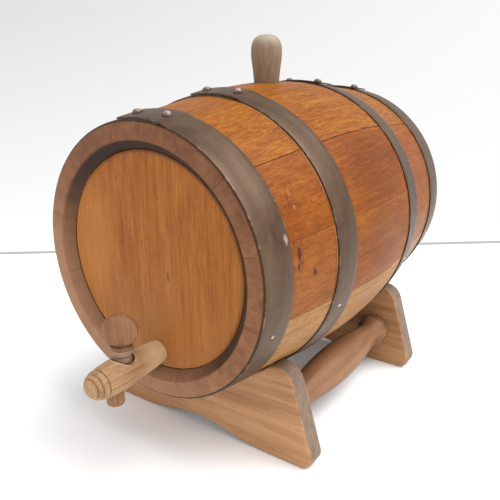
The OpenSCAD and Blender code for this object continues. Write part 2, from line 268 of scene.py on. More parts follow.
class Wood(Surface):
    """Wood whose grain runs along the first axis of its grain coordinates, in metres."""

    def __init__(self, name, grain=None, axis=None, offset=(0, 0, 0)):
        super().__init__(name)
        if grain is not None:
            place = self.attribute(grain)
        else:
            x, y, z = self.parts(self.here())
            order = {"X": (x, y, z), "Y": (y, z, x), "Z": (z, x, y)}[axis]
            place = self.join(*order)
        self.place = place
        shifted = self.vector("ADD", place, offset)
        drift = self.noise(shifted, (7, 22, 22), detail=1, output=1)
        drift = self.vector("SUBTRACT", drift, (0.5, 0.5, 0.5))
        drift = self.vector("MULTIPLY", drift, (0, 9 * MM, 9 * MM))
        self.grain = self.vector("ADD", shifted, drift)

    def look(self, stops, width=1.0, bands=0.5, fibres=0.35, patches=0.3, pores=0.5, figure=0.0):
        """Colour and height of the wood. width scales the features; the rest say how strong they are."""
        w = 1 / width
        band = self.noise(self.grain, (6 * w, 170 * w, 170 * w), detail=3, rough=0.6)
        fibre = self.noise(self.grain, (30 * w, 900 * w, 900 * w), detail=3, rough=0.65)
        patch = self.noise(self.grain, (16 * w, 38 * w, 38 * w), detail=2)
        tone = self.swing(band, LOOK_SWING * bands)
        for value, amount in ((fibre, fibres), (patch, patches)):
            tone = self.math("ADD", tone, self.swing(value, LOOK_SWING * amount))
        height = self.times(fibre, 0.4)
        if figure:
            ripple = self.noise(self.grain, (120 * w, 620 * w, 620 * w), detail=3, rough=0.7, warp=0.5)
            tone = self.math("ADD", tone, self.swing(ripple, RIPPLE_SWING * figure))
        colour = self.ramp(self.math("ADD", tone, 0.5), stops)
        if figure:
            fleck = self.noise(self.grain, (75 * w, 760 * w, 760 * w), detail=2, rough=0.6, warp=0.5)
            fleck = self.step(fleck, 0.52, 0.76, 0, figure)
            colour = self.mix(fleck, colour, srgb(176, 118, 56))
        if pores:
            pore = self.noise(self.grain, (190 * w, 1900 * w, 1900 * w), detail=1)
            pore = self.step(pore, 0.60, 0.74)
            colour = self.tint(colour, srgb(56, 28, 14), pore, pores)
            height = self.math("SUBTRACT", height, self.times(pore, 0.6))
        return colour, height


OPEN_JOINT = 2  # the one joint that shows as a dark line: between the second and third staves


def seam_shade(wood, colour, index, strength=0.16, open_strength=0.75):
    """Darkens the wood in the joints at the stave's two edges; nearly all of them are tight."""
    seam = wood.attribute("seam", "Fac")
    depth = wood.noise(wood.grain, (60, 5, 5), detail=3, rough=0.6)
    reach = wood.linear(depth, 0.36, 0.64, 0.12 * MM, 0.9 * MM)
    near = wood.step(wood.math("DIVIDE", seam, reach), 1.0, 0.2)
    across = wood.parts(wood.place)[1]
    joints = (index, (index + 1) % STAVES)
    low, high = (open_strength if joint == OPEN_JOINT else strength for joint in joints)
    amount = wood.linear(across, -1 * MM, 1 * MM, low, high)
    return wood.mix(wood.times(near, amount), colour, srgb(48, 26, 14))


HOOP_NAMES = ("front_chime_hoop", "front_bilge_hoop", "rear_bilge_hoop", "rear_chime_hoop")
HOOP_SPANS = [hoop_span(name) for name in HOOP_NAMES]
HOOP_LINE = 0.95 * MM  # how far outside a hoop's edge its pale line runs


def hoop_lines(wood, colour):
    """A pale line along each hoop's edge, and painted shade on the wood against it."""
    along = wood.parts(wood.place)[0]
    wobble = wood.noise(wood.place, (60, 60, 60), detail=2)
    breaks = wood.step(wood.noise(wood.place, (25, 110, 110), detail=2), 0.36, 0.52)
    for start, width in HOOP_SPANS:
        for edge, out in ((start, -1), (start + width, 1)):
            away = wood.times(wood.math("SUBTRACT", along, edge), out)
            away = wood.math("ADD", away, wood.times(wobble, 0.5 * MM))
            # Painted shade on the wood right against the hoop's edge.
            dirt = wood.times(wood.step(away, 3.2 * MM, 0.4 * MM), 0.4)
            inside = wood.step(away, -0.5 * MM, 0.0)
            dirt = wood.times(dirt, inside)
            colour = wood.mix(dirt, colour, srgb(72, 40, 20))
            pale = wood.math("SUBTRACT", away, HOOP_LINE)
            pale = wood.step(wood.math("ABSOLUTE", pale), 0.4 * MM, 0.1 * MM)
            pale = wood.times(wood.times(pale, breaks), 0.5)
            colour = wood.mix(pale, colour, srgb(190, 146, 96))
    return colour


STAVE_LOOKS = {
    # index: darkest, middle and lightest colour, strength of the ripple figure and of the patches
    0: (srgb(106, 55, 14), srgb(135, 77, 20), srgb(158, 99, 34), 0.28, 0.15),
    1: (srgb(106, 53, 9), srgb(135, 75, 14), srgb(162, 101, 27), 0.42, 0.12),
    2: (srgb(100, 46, 6), srgb(127, 65, 12), srgb(151, 87, 23), 0.22, 0.18),
    3: (srgb(102, 50, 11), srgb(129, 70, 20), srgb(152, 92, 32), 0.2, 0.15),
    # Look 4, on the fifth stave, which faces down to the right, is paler and greyer: painted reflection
    # of the white table.
    4: (srgb(120, 78, 42), srgb(151, 107, 61), srgb(178, 135, 84), 0.22, 0.15),
    # Look 5, on the sixth stave, further under the barrel, is darker: painted shade.
    5: (srgb(92, 52, 22), srgb(118, 73, 32), srgb(143, 97, 50), 0.2, 0.15),
}

# Marks in the wood: (distance from the front end in mm, angle round the barrel in degrees,
# half length and half width in mm, colour, strength).
STAVE_MARKS = {
    2: [
        (36.8, 60, 3.4, 15, srgb(104, 46, 14), 0.38),
        (36.5, 58, 1.6, 3.2, srgb(176, 112, 56), 0.36),
        (36, 63.5, 1.2, 1.4, srgb(184, 124, 70), 0.45),
        (33.5, 61, 0.9, 7.5, srgb(86, 38, 14), 0.6),
        (39.5, 64, 0.7, 6, srgb(96, 46, 20), 0.5),
        (41, 55, 2.2, 2.2, srgb(98, 48, 20), 0.45),
        (128, 62, 48, 26, srgb(84, 40, 16), 0.4),
    ],
    3: [
        (31, 82, 3.6, 11, srgb(98, 44, 20), 0.38),
        (30.5, 80, 1.9, 4.8, srgb(50, 26, 18), 0.85),
        (27.5, 75, 1.1, 3.4, srgb(70, 34, 20), 0.65),
        (29, 84.5, 1.4, 2.6, srgb(60, 32, 20), 0.7),
        (33.5, 77, 0.9, 1.6, srgb(74, 36, 22), 0.6),
        (43, 89, 2.4, 2.8, srgb(46, 30, 26), 0.85),
        (58, 101, 6, 3, srgb(84, 56, 38), 0.4),
        (126, 88, 44, 24, srgb(88, 46, 24), 0.35),
    ],
}


def end_distance(wood):
    """Distance from the nearer end of the barrel."""
    along = wood.parts(wood.place)[0]
    return wood.math("MINIMUM", along, wood.math("SUBTRACT", LENGTH, along))


def stave_material(index):
    """Varnished oak for the outside of one stave; each stave came from another board."""
    dark, middle, light, figure, patches = STAVE_LOOKS[index % len(STAVE_LOOKS)]
    name = "oak_stave_%02d" % (index + 1)
    wood = Wood(name, grain="grain", offset=(0.37 * index, 0.11 * index, 0.07 * index))
    stops = [(0.1, dark), (0.5, middle), (0.92, light)]
    colour, height = wood.look(stops, bands=0.3, fibres=0.45, patches=patches, pores=0.4, figure=figure)
    for s, angle, half_l, half_w, tint, strength in STAVE_MARKS.get(index, []):
        across = (math.radians(angle) - index * STAVE_A) * END_R
        mask = wood.spot(wood.place, (s * MM, across, 0), (half_l * MM, half_w * MM, 1))
        colour = wood.tint(colour, tint, mask, strength)
        height = wood.math("SUBTRACT", height, wood.times(mask, 0.5))
    colour = hoop_lines(wood, colour)
    # Painted shade over the rounded outer corner at each end of the stave.
    inset = end_distance(wood)
    colour = wood.mix(wood.step(inset, 1.4 * MM, 0.5 * MM, 0, 0.85), colour, srgb(62, 38, 24))
    colour = seam_shade(wood, colour, index)
    gloss = wood.noise(wood.place, (20, 40, 40), detail=2)
    roughness = wood.linear(gloss, 0.3, 0.7, 0.38, 0.52)
    return wood.finish(colour, roughness, height, 0.1 * MM, specular=0.12)


def end_material(index):
    """End grain of one stave, on the chime and its bevel."""
    wood = Wood("oak_end_%02d" % (index + 1), grain="grain", offset=(0.2, 0.31 * index, 0.1))
    tone = 0.98 + 0.08 * noise.noise(Vector((index * 3.7, 1.3, 0.4)))
    stops = [
        (0.15, srgb(94 * tone, 56 * tone, 30 * tone)),
        (0.5, srgb(124 * tone, 79 * tone, 47 * tone)),
        (0.9, srgb(148 * tone, 102 * tone, 68 * tone)),
    ]
    ring = wood.noise(wood.grain, (400, 1100, 160), detail=3, rough=0.6)
    patch = wood.noise(wood.grain, (60, 90, 90), detail=3, rough=0.6)
    speck = wood.step(wood.noise(wood.grain, (1400, 1400, 1400), detail=1), 0.62, 0.72)
    value = wood.math("ADD", wood.times(ring, 0.7), wood.times(patch, 1.1))
    colour = wood.ramp(wood.math("SUBTRACT", value, 0.4), stops)
    colour = wood.tint(colour, srgb(60, 36, 22), speck, 0.3)
    right, _, up = wood.parts(wood.here())
    # Painted light: low down and to the left the end grain is made paler.
    wear_and_light = wood.math("SUBTRACT", AXIS_Z, wood.math("ADD", up, wood.times(right, 0.8)))
    colour = wood.mix(wood.linear(wear_and_light, 0, 0.9 * END_R, 0, 0.42), colour, srgb(166, 128, 98))
    # Painted shade: the bevel inside the chime is darker, more so towards the head, and most of all at
    # the top and on the right.
    inset = end_distance(wood)
    bevel = wood.step(inset, 0.4 * MM, 1.4 * MM)
    deep = wood.linear(inset, 1.5 * MM, HEAD_S, 0.1, 0.35)
    colour = wood.tint(colour, srgb(40, 26, 18), bevel, deep)
    top = wood.step(up, AXIS_Z - 0.05 * END_R, AXIS_Z + 0.75 * END_R, 0, 0.95)
    side = wood.step(right, 0.2 * END_R, 0.75 * END_R, 0, 0.9)
    bevel_shade = wood.math("MAXIMUM", top, side)
    # Painted shade over the upper part of the end face.
    colour = wood.tint(colour, srgb(74, 34, 10), top, 0.4)
    colour = wood.tint(colour, srgb(34, 22, 15), bevel, bevel_shade)
    # The outer corner is chipped to bare wood.
    chips = wood.step(wood.noise(wood.place, (300, 170, 300), detail=2, rough=0.6), 0.62, 0.7)
    corner = wood.step(wood.attribute("radius", "Fac"), END_R - 1.1 * MM, END_R - 0.5 * MM)
    chips = wood.times(wood.times(chips, corner), 0.6)
    colour = wood.mix(chips, colour, srgb(190, 166, 140))
    colour = seam_shade(wood, colour, index, 0.1, 0.25)
    height = wood.math("ADD", wood.times(ring, 0.5), wood.times(patch, 0.5))
    return wood.finish(colour, 0.55, height, 0.15 * MM, specular=0.25)


HEAD_SEEN_R = 65.5 * MM  # the painted shade along the head's edge starts about here


def head_material():
    """Quarter-sawn oak of the heads: upright grain, long fine streaks and short dark pores."""
    wood = Wood("oak_heads", axis="Z", offset=(0.4, 0.2, 0))
    stops = [
        (0.08, srgb(114, 60, 20)),
        (0.5, srgb(143, 83, 31)),
        (0.95, srgb(166, 108, 48)),
    ]
    colour, height = wood.look(stops, width=0.6, bands=0.3, fibres=0.45, patches=0.2, pores=0.5)
    up, right, _ = wood.parts(wood.place)
    # Painted light: the head is made paler towards the bottom.
    lit_low = wood.linear(up, AXIS_Z - 68 * MM, AXIS_Z + 10 * MM, 0.38, 0)
    colour = wood.mix(lit_low, colour, srgb(178, 124, 74))
    # Painted light: a paler patch on the left of the head.
    wear_and_light = wood.spot(wood.place, (AXIS_Z + 8 * MM, -52 * MM, 0), (46 * MM, 26 * MM, 1))
    colour = wood.tint(colour, srgb(176, 116, 58), wear_and_light, 0.45)
    up = wood.math("SUBTRACT", up, AXIS_Z)
    reach = wood.length(wood.join(up, right, 0))
    turn = wood.math("DIVIDE", wood.math("ADD", up, right), reach)
    # Painted shade along the head's edge, strongest at the top and on the right.
    rim = wood.step(reach, HEAD_SEEN_R - 2.5 * MM, HEAD_SEEN_R + 1.5 * MM, 0, 0.85)
    rim = wood.times(rim, wood.step(turn, -0.4, 0.7))
    colour = wood.mix(rim, colour, srgb(44, 22, 10))
    mark = (AXIS_Z - 6 * MM, 11.5 * MM, 0)
    mask = wood.spot(wood.place, mark, (4.4 * MM, 1 * MM, 1))
    colour = wood.tint(colour, srgb(60, 34, 20), mask, 0.7)
    gloss = wood.noise(wood.place, (20, 40, 40), detail=2)
    roughness = wood.linear(gloss, 0.3, 0.7, 0.4, 0.54)
    return wood.finish(colour, roughness, height, 0.08 * MM, specular=0.12)


PLANK_STOPS = [(0.08, srgb(139, 94, 60)), (0.5, srgb(173, 127, 86)), (0.95, srgb(199, 156, 111))]
# Painted shade: the rails take darker stops than the planks, for the barrel's shadow over them.
SHADED_RAIL_STOPS = [(0.08, srgb(104, 67, 42)), (0.5, srgb(128, 88, 57)), (0.95, srgb(147, 106, 73))]


def cradle_material(name, axis, offset, stops, side_span=None):
    """Oiled wood of the cradle, greyed between a plank's two faces, which side_span gives along Y."""
    wood = Wood(name, axis=axis, offset=offset)
    colour, height = wood.look(stops, width=1.3, bands=0.55, fibres=0.25, patches=0.35, pores=0.25)
    if side_span:
        y = wood.parts(wood.here())[1]
        front = wood.math("SUBTRACT", y, side_span[0])
        back = wood.math("SUBTRACT", side_span[1], y)
        inside = wood.math("MINIMUM", front, back)
        fray = wood.times(wood.noise(wood.place, (300, 300, 300)), 1.2 * MM)
        side = wood.step(wood.math("ADD", inside, fray), 0.7 * MM, 2.2 * MM)
        end = wood.noise(wood.place, (500, 500, 120), detail=3, rough=0.6)
        grey = wood.ramp(end, [(0.3, srgb(84, 70, 60)), (0.7, srgb(118, 102, 91))])
        colour = wood.tint(colour, grey, side, 0.85)
    return wood.finish(colour, 0.5, height, 0.12 * MM, specular=0.3)


def turned_material(name, axis, offset, stops, **look):
    """Plain turned wood, left unvarnished."""
    wood = Wood(name, axis=axis, offset=offset)
    colour, height = wood.look(stops, **look)
    return wood.finish(colour, 0.6, height, 0.1 * MM, specular=0.3)


# ---- steel ----


def hoop_material(name, marks=()):
    """Hoop steel gone brown under its lacquer, with dark cut edges, partly painted shade, and bright
    rubbed corners.
    """
    steel = Surface(name)
    place = steel.attribute("grain")
    edge = steel.attribute("edge", "Fac")
    cloud = steel.noise(place, (14, 60, 60), detail=3, rough=0.6)
    mottle = steel.noise(place, (160, 220, 220), detail=3, rough=0.6)
    rolled = steel.noise(place, (6, 1100, 900), detail=2)
    value = steel.math("ADD", steel.times(cloud, 0.9), steel.times(mottle, 0.35))
    value = steel.math("ADD", value, steel.times(rolled, 0.09))
    stops = [
        (0.42, srgb(62, 43, 29)),
        (0.68, srgb(84, 62, 43)),
        (0.92, srgb(102, 80, 58)),
    ]
    colour = steel.ramp(value, stops)
    rust = steel.step(steel.noise(place, (90, 120, 120), detail=4, rough=0.7), 0.6, 0.74)
    colour = steel.tint(colour, srgb(98, 62, 40), rust, 0.5)
    wear = steel.step(edge, 0.8 * MM, 0.25 * MM)
    rubbed = steel.step(steel.noise(place, (130, 60, 60), detail=3, rough=0.7), 0.5, 0.62)
    colour = steel.tint(colour, srgb(150, 132, 116), steel.times(wear, rubbed), 0.55)
    # The cut edges are darkened: partly the raw steel, partly painted shade on the edge faces.
    cut = steel.step(edge, 0.16 * MM, 0.04 * MM)
    colour = steel.tint(colour, srgb(44, 33, 28), cut, 0.75)
    for centre, size, tint, strength in marks:
        mask = steel.spot(place, centre, size, ragged=0.9)
        colour = steel.tint(colour, tint, mask, strength)
    roughness = steel.linear(mottle, 0.3, 0.7, 0.36, 0.52)
    return steel.finish(colour, roughness, mottle, 0.12 * MM, metallic=0.45, specular=0.35)


def nail_material():
    """Bright steel of the nails, mottled with dirt."""
    steel = Surface("nail_steel")
    mottle = steel.noise(steel.here(), (420, 420, 420), detail=3, rough=0.6)
    colour = steel.ramp(mottle, [(0.3, srgb(120, 112, 102)), (0.68, srgb(226, 220, 210))])
    gloss = steel.linear(mottle, 0.3, 0.7, 0.3, 0.45)
    return steel.finish(colour, gloss, mottle, 0.1 * MM, metallic=0.85)


# ---- mesh building ----


def new_piece(name, verts, faces, material, body, nodes, sharp):
    """A closed mesh, shaded smooth up to the sharp angle in degrees, that stands for the CAD nodes."""
    mesh = bpy.data.meshes.new(name)
    mesh.from_pydata([tuple(v) for v in verts], [], faces)
    shell = bmesh.new()
    shell.from_mesh(mesh)
    bmesh.ops.recalc_face_normals(shell, faces=shell.faces)
    shell.to_mesh(mesh)
    shell.free()
    for polygon in mesh.polygons:
        polygon.use_smooth = True
    mesh.set_sharp_from_angle(angle=math.radians(sharp))
    for one in material if isinstance(material, list) else [material]:
        mesh.materials.append(one)
    piece = linked(name, mesh)
    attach(piece, body)
    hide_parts(*nodes)
    return piece


def loft(rings):
    """Closed quads between rings of the same number of points, with a face over each end."""
    count = len(rings[0])
    verts = [point for ring in rings for point in ring]
    faces = []
    for i in range(len(rings) - 1):
        for j in range(count):
            k = (j + 1) % count
            faces.append((i * count + j, i * count + k, (i + 1) * count + k, (i + 1) * count + j))
    faces.append(tuple(range(count)))
    faces.append(tuple(range((len(rings) - 1) * count, len(rings) * count)))
    return verts, faces


def lathe(line, place, steps=72):
    """Turns a line of (distance, radius) points that starts and ends on the axis.

    place gives the point for a distance, a radius and an angle.
    """
    inner = line[1:-1]
    verts = [place(*line[0], 0)]
    for s, r in inner:
        verts += [place(s, r, 2 * math.pi * k / steps) for k in range(steps)]
    verts.append(place(*line[-1], 0))
    last = len(verts) - 1
    faces = []
    for k in range(steps):
        n = (k + 1) % steps
        faces.append((0, 1 + k, 1 + n))
        for i in range(len(inner) - 1):
            a = 1 + i * steps
            faces.append((a + k, a + steps + k, a + steps + n, a + n))
        a = 1 + (len(inner) - 1) * steps
        faces.append((a + k, last, a + n))
    return verts, faces


def curve_through(points, steps):
    """A smooth line through points, by Catmull-Rom."""
    padded = [points[0]] + list(points) + [points[-1]]
    line = []
    for i in range(1, len(padded) - 2):
        a, b, c, d = (Vector(p) for p in padded[i - 1 : i + 3])
        for k in range(steps):
            t = k / steps
            line.append(
                0.5 * (2 * b + (c - a) * t + (2 * a - 5 * b + 4 * c - d) * t**2
                       + (3 * b - 3 * c + d - a) * t**3)
            )
    line.append(Vector(points[-1]))
    return [tuple(p) for p in line]


def point_values(mesh, name, values):
    """Stores a number for each vertex."""
    layer = mesh.attributes.new(name, "FLOAT", "POINT")
    layer.data.foreach_set("value", values)


def point_vectors(mesh, name, vectors):
    layer = mesh.attributes.new(name, "FLOAT_VECTOR", "POINT")
    layer.data.foreach_set("vector", [c for v in vectors for c in v])


# ---- staves ----

JOINT_HALF = 0.04 * MM  # what each stave leaves free at a joint
SEAM_EASE = 0.15 * MM  # how deep the edges are eased along the joints
OPEN_EASE = 0.4 * MM
CORNER_EASE = 0.8 * MM  # radius of the outer corner at each end
END_FACE, OUTSIDE, INSIDE = "end", "outside", "inside"


def stave_outline():
    """The stave's section as (distance, radius, kind) points, out along the outside and back inside."""
    ease = CORNER_EASE
    half = [(0, CHIME_IN_R, END_FACE), (0, (CHIME_IN_R + END_R) / 2, END_FACE)]
    for turn in (0, 30, 60, 90):
        a = math.radians(turn)
        s = ease * (1 - math.sin(a))
        half.append((s, outer_r(ease) - ease * (1 - math.cos(a)), OUTSIDE))
    half = half[:2] + half[:1:-1]
    steps = 26
    for k in range(1, steps + 1):
        s = ease + (HALF_L - ease) * k / steps
        half.append((s, outer_r(s), OUTSIDE))
    outside = half + [(LENGTH - s, r, kind) for s, r, kind in half[-2::-1]]
    inner = [
        (HEAD_S - 0.2 * MM, outer_r(HEAD_S) - STAVE_T, END_FACE),
        (CROZE_S, outer_r(CROZE_S) - STAVE_T, INSIDE),
        (CROZE_S, outer_r(CROZE_S) - STAVE_T + CROZE_D, INSIDE),
        (CROZE_S + CROZE_W, outer_r(CROZE_S) - STAVE_T + CROZE_D, INSIDE),
        (CROZE_S + CROZE_W, outer_r(CROZE_S + CROZE_W) - STAVE_T, INSIDE),
    ]
    back = [(LENGTH - s, r, kind) for s, r, kind in inner]
    for k in range(1, 13):
        s = (CROZE_S + CROZE_W) + (LENGTH - 2 * (CROZE_S + CROZE_W)) * (1 - k / 13)
        back.append((s, outer_r(s) - STAVE_T, INSIDE))
    return outside + back + inner[::-1]


def stave_values(mesh, index):
    """Grain coordinates, distance from the nearest joint and radius, for every vertex."""
    grain, seam, radius = [], [], []
    for vertex in mesh.vertices:
        x, y, z = vertex.co
        r = math.hypot(x, z - AXIS_Z)
        angle = math.atan2(x, z - AXIS_Z) - index * STAVE_A
        angle = (angle + math.pi) % (2 * math.pi) - math.pi
        grain.append((y - FRONT_Y, angle * END_R, r - END_R))
        seam.append((STAVE_A / 2 - abs(angle)) * r)
        radius.append(r)
    point_vectors(mesh, "grain", grain)
    point_values(mesh, "seam", seam)
    point_values(mesh, "radius", radius)


BUNG_HOLE_R = 8.6 * MM


def cut_bung_hole(piece):
    """Bores the bung hole through the top stave."""
    bore = bmesh.new()
    bmesh.ops.create_cone(
        bore, cap_ends=True, segments=64, radius1=BUNG_HOLE_R, radius2=BUNG_HOLE_R, depth=2 * STAVE_T
    )
    bmesh.ops.translate(bore, verts=bore.verts, vec=around(HALF_L, BILGE_R - STAVE_T / 2, 0))
    mesh = bpy.data.meshes.new("bore")
    bore.to_mesh(mesh)
    bore.free()
    cutter = linked("bore", mesh)
    cut = piece.modifiers.new("bore", "BOOLEAN")
    cut.object = cutter
    cut.solver = "EXACT"
    depsgraph = bpy.context.evaluated_depsgraph_get()
    done = bpy.data.meshes.new_from_object(piece.evaluated_get(depsgraph))
    piece.modifiers.clear()
    bpy.data.objects.remove(cutter)
    piece.data = done


def make_stave(index):
    """One stave, eased along its two long edges so that the joints show as fine grooves."""
    outline = stave_outline()
    half_a = STAVE_A / 2
    inner_steps = 8
    ease_a = SEAM_EASE / END_R
    edge_a = JOINT_HALF / END_R
    angles = [-half_a + edge_a]
    for k in range(inner_steps + 1):
        angles.append((half_a - edge_a - ease_a) * (2 * k / inner_steps - 1))
    angles.append(half_a - edge_a)
    rings = []
    for number, angle in enumerate(angles):
        at_edge = number in (0, len(angles) - 1)
        side = 0 if number == 0 else 1
        ring = []
        for s, r, kind in outline:
            depth = 0
            if at_edge:
                joint = (index + side) % STAVES
                depth = OPEN_EASE if joint == OPEN_JOINT else SEAM_EASE
                depth *= 0.65 + 0.7 * noise.noise(Vector((s * 40, joint * 7.1, 0.3)))
            if kind == OUTSIDE:
                r = r - depth
            elif kind == END_FACE and s < HEAD_S / 2:
                s = s + depth * 0.6
            elif kind == END_FACE and s > LENGTH - HEAD_S / 2:
                s = s - depth * 0.6
            ring.append(around(s, r, index * STAVE_A + angle))
        rings.append(ring)
    verts, faces = loft(rings)
    node = "bung_stave" if index == 0 else "stave_%02d" % (index + 1)
    materials = [stave_material(index), end_material(index)]
    piece = new_piece(node + "_oak", verts, faces, materials, "barrel", [node], sharp=28)
    if index == 0:
        cut_bung_hole(piece)
    mesh = piece.data
    for polygon in mesh.polygons:
        distances = [mesh.vertices[v].co.y - FRONT_Y for v in polygon.vertices]
        near_end = max(distances) < HEAD_S + 0.5 * MM or min(distances) > LENGTH - HEAD_S - 0.5 * MM
        outside = polygon.normal.dot(around(0, 1, index * STAVE_A) - around(0, 0, 0)) > 0.5
        polygon.material_index = 1 if near_end and not outside else 0
    stave_values(mesh, index)


for stave_index in range(STAVES):
    make_stave(stave_index)


# ---- heads ----

oak_heads = head_material()
pale_dowel = turned_material(
    "dowel_wood", "X", (0, 0, 0), [(0.1, srgb(190, 150, 104)), (0.9, srgb(224, 190, 146))]
)


def dress(node, material):
    """Gives a CAD node its material."""
    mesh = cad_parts[node].data
    mesh.materials.clear()
    mesh.materials.append(material)


for end in ("front", "rear"):
    for board in ("left", "middle", "right"):
        dress(f"{end}_head_{board}", oak_heads)
    dress(f"{end}_head_dowels", pale_dowel)


# ---- hoops ----

LAP_FROM = math.radians(-10.5)  # the strip's free end, on top
LAP_TO = math.radians(11)  # where the outer layer starts to come down
LAP_RAMP = math.radians(4)
LAP_SPRING = math.radians(3)  # the stretch at the free end that stands a little proud
LAP_GAP = 0.15 * MM
LAP_PROUD = 0.35 * MM
STRIP_STEP = math.radians(1.6)
STRIP_CUT = math.radians(0.5)  # the strip ends this much short of where its lap started
STRIP_EASE = 0.3 * MM
STRIP_CROWN = 0.12 * MM
STRIP_DENT = 0.06 * MM


def smooth(value):
    value = min(1, max(0, value))
    return value * value * (3 - 2 * value)


def strip_section(width):
    """The strip's section as (across, out) points, with eased outer corners and a faint crown."""
    points = [(0, 0)]
    for turn in (0, 45, 90):
        a = math.radians(turn)
        points.append((STRIP_EASE * (1 - math.cos(a)), HOOP_T - STRIP_EASE * (1 - math.sin(a))))
    middle = [(width * k / 6, HOOP_T + STRIP_CROWN * math.sin(math.pi * k / 6)) for k in range(1, 6)]
    mirrored = [(width - u, v) for u, v in points[::-1]]
    return points + middle + mirrored


def make_hoop(name, material):
    """One strip that goes once round and laps over its own start; the rear laps are turned round."""
    start, width = hoop_span(name)
    turned = name.startswith("rear")
    section = strip_section(width)
    whole = 2 * math.pi + LAP_TO - LAP_FROM
    count = round(whole / STRIP_STEP)
    rings, grain, edges = [], [], []
    for k in range(count + 1):
        a = LAP_FROM + (whole - STRIP_CUT) * k / count
        lift = (HOOP_T + LAP_GAP) * (1 - smooth((a - LAP_TO) / LAP_RAMP))
        lift += LAP_PROUD * (1 - smooth((a - LAP_FROM) / LAP_SPRING))
        dent = STRIP_DENT * noise.noise(Vector((a * 6, start * 90, 0.7)))
        ring = []
        for u, v in section:
            s = start + u
            r = outer_r(s) + HOOP_GAP + lift + v + (dent if v > 0 else 0)
            ring.append(around(s, r, -a if turned else a))
            grain.append((a * END_R, u, v + start))
            edges.append(min(u, width - u))
        rings.append(ring)
    verts, faces = loft(rings)
    piece = new_piece(name + "_steel", verts, faces, material, "barrel", [name], sharp=50)
    point_vectors(piece.data, "grain", grain)
    point_values(piece.data, "edge", edges)


# A pale smear on the front hoop: its place on the strip, its half size, colour and strength.
SMEAR_A = math.radians(73)
SMEAR_U = 20 * MM
SMEAR = (
    (SMEAR_A * END_R, SMEAR_U, HOOP_SPANS[0][0]), (3.4 * MM, 1.6 * MM, 1), srgb(206, 190, 172), 0.45
)
hoop_plain = hoop_material("hoop_steel")
hoop_marked = hoop_material("hoop_steel_smeared", [SMEAR])
for hoop_name in HOOP_NAMES:
    make_hoop(hoop_name, hoop_marked if hoop_name == "front_chime_hoop" else hoop_plain)

RIVET_ANGLES = (-7, 8)  # in degrees, round the barrel
RIVET_R = 3.2 * MM
RIVET_H = 0.75 * RIVET_R
RIVET_SHANK_R = 1.4 * MM
RIVET_FLANGE = 0.5 * MM  # thickness of the flange, and how far it stands out round the dome
RIVET_LIFT = 0.2 * MM


def rivet_material():
    """Rivet steel, with painted shade round the foot and a painted highlight on the top."""
    steel = Surface("rivet_steel")
    mottle = steel.noise(steel.here(), (420, 420, 420), detail=3, rough=0.6)
    colour = steel.ramp(mottle, [(0.3, srgb(92, 74, 66)), (0.68, srgb(128, 108, 98))])
    rise = steel.attribute("rise", "Fac")
    rise = steel.math("ADD", rise, steel.swing(mottle, 1.2 * MM))
    # Painted shade round the foot of each dome.
    colour = steel.mix(steel.step(rise, 1.0 * MM, 0.2 * MM, 0, 0.8), colour, srgb(44, 32, 28))
    # Painted highlight on the top of each dome.
    colour = steel.mix(steel.step(rise, 1.5 * MM, 2.3 * MM, 0, 0.7), colour, srgb(206, 184, 172))
    gloss = steel.linear(mottle, 0.3, 0.7, 0.34, 0.5)
    return steel.finish(colour, gloss, mottle, 0.1 * MM, metallic=0.6)


def make_rivets(name, material):
    """The two domed rivets through one hoop's lap, with a thin flange under each dome."""
    low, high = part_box(name)
    rear = (low.y + high.y) / 2 > MID_Y
    start, width = hoop_span(name.replace("rivets", "hoop"))
    s = start + width / 2
    dome_r, dome_h = RIVET_R - RIVET_FLANGE, RIVET_H - RIVET_FLANGE
    line = [(-2 * HOOP_T, 0), (-2 * HOOP_T, RIVET_SHANK_R), (0.0, RIVET_SHANK_R), (0.0, RIVET_R)]
    line += [(0.35 * MM, RIVET_R), (RIVET_FLANGE, RIVET_R - 0.25 * MM), (0.55 * MM, dome_r)]
    for turn in (15, 30, 45, 60, 75):
        a = math.radians(turn)
        line.append((RIVET_FLANGE + dome_h * math.sin(a), dome_r * math.cos(a)))
    line.append((RIVET_H, 0))
    verts, faces, rise = [], [], []
    for angle in RIVET_ANGLES:
        a = math.radians(-angle if rear else angle)
        out = Vector((math.sin(a), TAPER if rear else -TAPER, math.cos(a))).normalized()
        side = Vector((math.cos(a), 0, -math.sin(a)))
        across = out.cross(side)
        foot = around(s, outer_r(s) + HOOP_GAP + 2 * HOOP_T + RIVET_LIFT, a)

        def place(t, r, turn):
            return foot + out * t + (side * math.cos(turn) + across * math.sin(turn)) * r

        more_verts, more_faces = lathe(line, place, steps=40)
        faces += [tuple(i + len(verts) for i in face) for face in more_faces]
        verts += more_verts
        rise += [(v - foot).dot(out) for v in more_verts]
    piece = new_piece(name + "_domes", verts, faces, material, "barrel", [name], sharp=40)
    point_values(piece.data, "rise", rise)


rivet_steel = rivet_material()
for hoop_name in HOOP_NAMES:
    make_rivets(hoop_name.replace("hoop", "rivets"), rivet_steel)
dress("hoop_nails", nail_material())


# ---- bung ----

bung_low, bung_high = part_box("bung")
BUNG_R = 8.5 * MM
BUNG_TAPER = 0.03  # how much its radius shrinks for each unit of depth
BUNG_BELLY = bung_high.x
BUNG_TOP = AXIS_Z + BILGE_R  # the level of the stave's top, where the stopper enters


